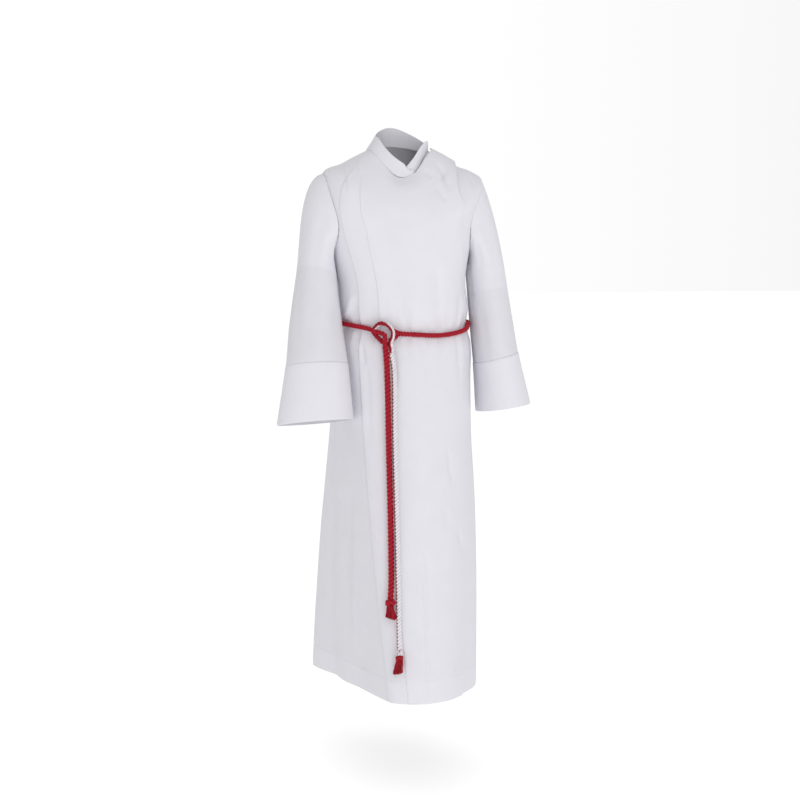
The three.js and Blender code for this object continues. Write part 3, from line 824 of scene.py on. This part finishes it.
def columnLine(piece, inset):  # a line that runs down beside the last column, inset in millimetres
    picks = np.argmin(np.abs(edgeDistance(piece["outside"])[1] - inset), axis=1)
    index = np.arange(len(picks))
    return piece["outside"][index, picks], piece["normal"][index, picks]


def ring(piece, index):
    places = np.concatenate([piece["outside"][index], piece["outside"][index][:1]])
    outward = np.concatenate([piece["normal"][index], piece["normal"][index][:1]])
    return places, outward


hemStitches = stitchLine("hemStitches", [rowNear(panel, hemAt - hemDeep + 1)
                                         for panel in (frontRight, frontLeft, backPanel)])
wrapStitches = stitchLine("wrapStitches", [columnLine(frontRight, 7)])
cuffStitches = stitchLine("cuffStitches", [ring(cuffRight, 3), ring(cuffLeft, 3)])
collarStitches = stitchLine("collarStitches", [(collar["outside"][15], collar["normal"][15])])
print("stitching made")


ropeSettings = {"wide": 10.0, "strandWide": 5.5, "strandOut": 2.45, "lay": 20.0, "step": 1.5, "sides": 27}
beltOff = 7.6
beltRise = table("at rise", [
    [-120, 2], [-90, 5], [-50, 7], [-22, 2], [0, 0], [25, -5], [50, -4], [72, 2], [92, 5], [140, 1], [240, 2],
])


def onBelt(angle):
    turn = (angle + 120) % 360 - 120
    here = onBody(angle, beltLevel)
    before, after = onBody(angle - 1, beltLevel), onBody(angle + 1, beltLevel)
    outward = unit(np.array([after[1] - before[1], before[0] - after[0], 0]))
    lap = (2 * clothWall + lapGap) * ramp(turn, -18, 5) * (1 - ramp(turn, 56, 70))
    pleat = pleatHigh * ramp(turn, -64, -54) * (1 - ramp(turn, -16, -4))
    here = here + outward * (beltOff + lap + pleat)
    here[2] += read(beltRise, "rise", turn)
    return here


knotMiddle = onBelt(-25)
knotOut = np.array([-0.208, -0.978, 0])
knotAcross = np.array([0.978, -0.208, 0])


def byKnot(places):
    return [knotMiddle + knotAcross * across + knotOut * out + np.array([0, 0, up])
            for across, up, out in places]


def smoothPath(points, step):
    points = np.asarray(points, float)
    ends = np.concatenate([[2 * points[0] - points[1]], points, [2 * points[-1] - points[-2]]])
    out = []
    for k in range(1, len(ends) - 2):
        p0, p1, p2, p3 = ends[k - 1:k + 3]
        d0, d1, d2 = (max(np.linalg.norm(b - a), 1e-6) ** 0.5 for a, b in ((p0, p1), (p1, p2), (p2, p3)))
        m1 = d1 * ((p1 - p0) / d0 - (p2 - p0) / (d0 + d1) + (p2 - p1) / d1)
        m2 = d1 * ((p2 - p1) / d1 - (p3 - p1) / (d1 + d2) + (p3 - p2) / d2)
        for t in np.linspace(0, 1, 24, endpoint=False):
            out.append((2 * t ** 3 - 3 * t ** 2 + 1) * p1 + (t ** 3 - 2 * t ** 2 + t) * m1
                       + (3 * t ** 2 - 2 * t ** 3) * p2 + (t ** 3 - t ** 2) * m2)
    out.append(ends[-2])
    return resample(out, step)


def tubeFaces(count, sides):
    faces = []
    for k in range(count - 1):
        for a in range(sides):
            b = (a + 1) % sides
            faces.append((k * sides + a, k * sides + b, (k + 1) * sides + b, (k + 1) * sides + a))
    faces.append(tuple(reversed(range(sides))))
    faces.append(tuple((count - 1) * sides + a for a in range(sides)))
    return faces


def joined(parts):  # each part starts with its vertices, its faces and its groove values, which paint shade between rope strands and give tassel strands a random tone
    vertices, faces, grooveShadeAndTone = [], [], []
    for part in parts:
        base = len(vertices)
        vertices.extend(part[0])
        faces.extend(tuple(base + i for i in face) for face in part[1])
        grooveShadeAndTone.extend(part[2])
    return vertices, faces, grooveShadeAndTone


def ropeStretch(points, wide, startTurn=0.0):
    # three laid strands, as rings along the path: places, faces, how deep in a groove (used for painted shade
    # between strands), and the side
    s = ropeSettings
    scale = wide / s["wide"]
    path = smoothPath(points, s["step"])
    tangent = unit(np.gradient(path, axis=0))
    side = unit(np.cross(tangent[0], np.array([0.3, 0.5, 0.81])))
    sides = s["sides"]
    turns = np.linspace(0, 2 * math.pi, sides, endpoint=False)
    c, r = s["strandOut"] * scale, s["strandWide"] / 2 * scale
    vertices, grooveShadeAndTone, flanks = [], [], []
    travelled = 0.0
    for k in range(len(path)):
        if k:
            travelled += np.linalg.norm(path[k] - path[k - 1])
        side = unit(side - tangent[k] * np.dot(side, tangent[k]))
        other = np.cross(tangent[k], side)
        twist = startTurn + 2 * math.pi * travelled / (s["lay"] * scale)
        local = (turns - twist + math.pi / 3) % (2 * math.pi / 3) - math.pi / 3
        radius = c * np.cos(local) + np.sqrt(np.maximum(r * r - (c * np.sin(local)) ** 2, 0))
        for a, q, l in zip(turns, radius, local):
            direction = side * math.cos(a) + other * math.sin(a)
            vertices.append(path[k] + direction * q)
            # painted shade: the deeper into the groove between strands, the darker
            grooveShadeAndTone.append(min(1.0, (abs(l) / (math.pi / 3)) ** 3.2))
            flanks.append(float(np.dot(direction, knotAcross)))
    return vertices, tubeFaces(len(path), sides), grooveShadeAndTone, flanks, path


def ropePiece(name, stretches, material, pale=(-0.2, 0.1)):
    vertices, faces, grooveShadeAndTone = joined(stretches)
    flanks = np.concatenate([made[3] for made in stretches])
    piece = makeMesh(name, np.array(vertices) * mm, faces)
    setValues(piece.data, "groove_shade_and_strand_tone", grooveShadeAndTone)
    setValues(piece.data, "side", ramp(flanks, *pale))
    piece.data.materials.append(material)
    return piece


beltFrom, beltTo = -13.2, 320.6
beltPath = [onBelt(angle) for angle in np.linspace(beltFrom, beltTo, 61)]
belt = ropePiece("belt", [ropeStretch(beltPath, 10)], redRope)

turnDown = [onBelt(320)] + byKnot([
    (-20, 2, 6), (-10, -1, 12), (-3, -4, 15), (-1, -12, 15), (-1, -25, 14)])
diveUnder = byKnot([(-25, 1, 3), (-17, -9, 4), (-6, -19, 4), (7, -23, 8), (11.5, -31, 13), (11.5, -42, 13.5)])
loopOver = byKnot([(-24, 6, 4), (-12, 17, 8), (2, 16, 12), (13, 5, 14), (14, -8, 14), (10, -20, 13),
                   (10.5, -30, 13)])
upperArm = [onBelt(-12)] + byKnot([(19, 2, 4), (9, 8, 7)])
lowerArm = byKnot([(25, -4, 1), (18, -12, 4), (6, -16, 7)])
knot = ropePiece("knot", [ropeStretch(turnDown, 10), ropeStretch(diveUnder[:4], 9.6),
                          ropeStretch(upperArm, 8), ropeStretch(lowerArm, 8)], redRope)
knotLoop = ropePiece("knotLoop", [ropeStretch(loopOver, 9), ropeStretch(diveUnder[3:], 10, startTurn=1.2)],
                     pairedRope, pale=(-0.1, 0.2))
print("belt and knot made")

# The hanging ends, in metres, below where each leaves the knot.
redEnd = [(-0.0455, -0.117, -0.430), (-0.0455, -0.134, -0.580), (-0.0445, -0.147, -0.740),
          (-0.0445, -0.153, -0.860), (-0.047, -0.158, -0.893)]
whiteEnd = [(-0.0315, -0.119, -0.440), (-0.033, -0.136, -0.580), (-0.032, -0.151, -0.740),
            (-0.031, -0.158, -0.860), (-0.030, -0.164, -0.995)]
runIn = 1.5  # how far each end runs up into the knot, in millimetres


def hanging(leaves, end):
    top = np.array(leaves[-1]) + np.array([0, 0, runIn])
    return [top] + [np.array(p) / mm for p in end]


redStretch = ropeStretch(hanging(turnDown, redEnd), 12.2, startTurn=1.0)
whiteStretch = ropeStretch(hanging(diveUnder, whiteEnd), 10.4, startTurn=2.0)
cordRed = ropePiece("cordRed", [redStretch], redRope)
cordWhite = ropePiece("cordWhite", [whiteStretch], pairedRope, pale=(-0.86, -0.6))

tasselSettings = {
    "red": {"bulge": 5.4, "bulgeDown": 8.0, "bulgeWide": 10.6, "tuftFrom": 11, "tuftLong": 28,
            "spread": 10.0, "oblique": 3.0, "slant": 0.6, "strands": 130, "seed": 5},
    "white": {"bulge": 4.2, "bulgeDown": 17.5, "bulgeWide": 8.0, "tuftFrom": 20, "tuftLong": 27,
              "spread": 9.0, "oblique": -1.5, "slant": -3.5, "strands": 120, "seed": 9},
}


def strand(points, wide, sides=5):
    path = np.asarray(points, float)
    tangent = unit(np.gradient(path, axis=0))
    side = unit(np.cross(tangent[0], np.array([0.9, 0.1, 0.2])))
    vertices = []
    for place, along in zip(path, tangent):
        side = unit(side - along * np.dot(side, along))
        other = np.cross(along, side)
        for a in range(sides):
            turn = 2 * math.pi * a / sides
            vertices.append(place + (side * math.cos(turn) + other * math.sin(turn)) * wide / 2)
    return vertices, tubeFaces(len(path), sides)


evenTurn = 2.39996  # radians from one strand to the next, so that they fill a disc evenly


def tuftStrands(top, settings, count, start, foot, down, long, wide):
    chance = random.Random(settings["seed"])
    parts = []
    for k in range(count):
        share = math.sqrt((k + 0.5) / count)
        turn = k * evenTurn
        reach = share * foot * (0.85 + 0.3 * chance.random())
        cut = long * (0.88 + 0.16 * chance.random()) + settings["oblique"] * math.cos(turn) * share
        sway = chance.uniform(-1.2, 1.2)
        points = []
        for t in np.linspace(0, 1, 7):
            out = share * start + (reach - share * start) * t ** 0.8 + 0.8 * math.sin(t * 5 + k)
            aside = (sway + settings["slant"]) * t * t
            points.append(top + np.array([math.cos(turn + 0.25 * t) * out + aside,
                                          math.sin(turn + 0.25 * t) * out, -down - cut * t]))
        vertices, faces = strand(points, wide)
        # each tassel strand gets a random tone of its own
        parts.append((vertices, faces, [chance.uniform(0, 0.6)] * len(vertices)))
    return joined(parts)


def buildTassel(name, end, settings):
    top = np.array(end) / mm
    turns = np.linspace(0, 2 * math.pi * 1.7, 26)
    bulge, down = settings["bulge"], settings["bulgeDown"]
    wraps = [top + np.array([bulge * math.cos(t), bulge * math.sin(t),
                             -down + 3.4 - 5.4 * t / turns[-1] - 1.4 * math.sin(t)]) for t in turns]
    core = [top + np.array([0, 0, z]) for z in (1.5, -6, -12, -settings["tuftFrom"] - 2)]
    tuft = tuftStrands(top, settings, settings["strands"], 5.2, settings["spread"], settings["tuftFrom"],
                       settings["tuftLong"], 1.7)
    binding = [ropeStretch(wraps, settings["bulgeWide"]), ropeStretch(core, 10.4)]
    vertices, faces, grooveShadeAndTone = joined(binding + [tuft])
    piece = makeMesh(name, np.array(vertices) * mm, faces)
    setValues(piece.data, "groove_shade_and_strand_tone", grooveShadeAndTone)
    piece.data.materials.append(redRope)
    return piece


def buildPuff(name, end):  # the white strands' frayed ends, above the white rope's binding
    settings = {"oblique": 0.5, "slant": 0, "seed": 3}
    top = np.array(end) / mm
    vertices, faces, grooveShadeAndTone = tuftStrands(top, settings, 60, 3.6, 7.4, -1, 11, 1.6)
    piece = makeMesh(name, np.array(vertices) * mm, faces)
    setValues(piece.data, "groove_shade_and_strand_tone", np.array(grooveShadeAndTone) * 0.3)
    setValues(piece.data, "side", np.ones(len(vertices)))
    piece.data.materials.append(pairedRope)
    return piece


tasselRed = buildTassel("tasselRed", redEnd[-1], tasselSettings["red"])
tasselWhite = buildTassel("tasselWhite", whiteEnd[-1], tasselSettings["white"])
puff = buildPuff("puff", whiteEnd[-1])
print("cords and tassels made")


clothNodes = {
    "front_right": frontRight, "front_left": frontLeft, "back": backPanel, "sleeve_right": sleeveRight,
    "sleeve_left": sleeveLeft, "cuff_right": cuffRight, "cuff_left": cuffLeft, "collar": collar,
}
for node, made in clothNodes.items():
    made["piece"].data.materials.append(clothMaterial)
    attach(made["piece"], "root")
    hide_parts(node)
for piece in (hemStitches, wrapStitches, cuffStitches, collarStitches):
    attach(piece, "root")
for piece, node in ((belt, "cincture_belt"), (knot, "cincture_knot"), (cordRed, "cord_red"),
                    (cordWhite, "cord_white"), (tasselRed, "tassel_red"), (tasselWhite, "tassel_white")):
    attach(piece, "root")
    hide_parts(node)
for piece in (knotLoop, puff):
    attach(piece, "root")


stageSettings = {"floorHeight": -1.275, "world": 0.86, "flag": 0.42, "leftFlag": 0.4, "key": 34, "back": 6,
                 "floorGlow": 0.36, "wallSharp": 8.0, "wallFrom": 5.8}


def addArea(name, place, aim, size, power):
    data = bpy.data.lights.new(name, "AREA")
    data.shape = "RECTANGLE"
    data.size, data.size_y = size
    data.energy = power
    light = bpy.data.objects.new(name, data)
    light.location = place
    light.rotation_euler = (Vector(aim) - Vector(place)).to_track_quat("-Z", "Y").to_euler()
    bpy.context.scene.collection.objects.link(light)


def buildStage(settings):
    bpy.ops.object.select_all(action="DESELECT")
    bpy.ops.mesh.primitive_plane_add(size=60, location=(0, 0, settings["floorHeight"]))
    floor = bpy.context.object
    floor.name = "floor"
    material, _, shader = newMaterial("pale floor")
    shader.inputs["Base Color"].default_value = (0.93, 0.93, 0.93, 1)
    shader.inputs["Roughness"].default_value = 0.9
    shader.inputs["Emission Color"].default_value = (1, 1, 1, 1)
    shader.inputs["Emission Strength"].default_value = settings["floorGlow"]
    floor.data.materials.append(material)
    world = bpy.data.worlds.new("studio")
    world.use_nodes = True
    tree = world.node_tree
    background = tree.nodes["Background"]
    background.inputs[0].default_value = (1, 1, 1, 1)
    towards = tree.nodes.new("ShaderNodeSeparateXYZ")
    tree.links.new(tree.nodes.new("ShaderNodeNewGeometry").outputs["Incoming"], towards.inputs[0])
    # bright behind the robe, as a lit wall is, and shaded by a flag on each side
    wall = mathNode(tree, "MULTIPLY_ADD", towards.outputs[1], -settings["wallSharp"], -settings["wallFrom"])
    behind = mathNode(tree, "SMOOTH_MIN", mathNode(tree, "MAXIMUM", wall, 0.0), 1.0, 0.05)
    aside = towards.outputs[0]
    right = mathNode(tree, "MULTIPLY", mathNode(tree, "MAXIMUM", aside, 0.0), -settings["flag"])
    left = mathNode(tree, "MULTIPLY", mathNode(tree, "MINIMUM", aside, 0.0), settings["leftFlag"])
    soft = mathNode(tree, "ADD", mathNode(tree, "ADD", right, left), settings["world"])
    share = mathNode(tree, "MULTIPLY", behind, 1.1 - settings["world"])
    tree.links.new(mathNode(tree, "ADD", mathNode(tree, "MAXIMUM", soft, 0.0), share), background.inputs[1])
    bpy.context.scene.world = world
    addArea("key light", (0.3, -4.2, 0.9), (0, 0, -0.55), (2.2, 2.2), settings["key"])
    addArea("back light", (0.6, 3.4, 1.6), (0, 0, -0.5), (2.4, 2.0), settings["back"])


buildStage(stageSettings)
bpy.context.scene.view_settings.view_transform = "Standard"
print("stage ready")
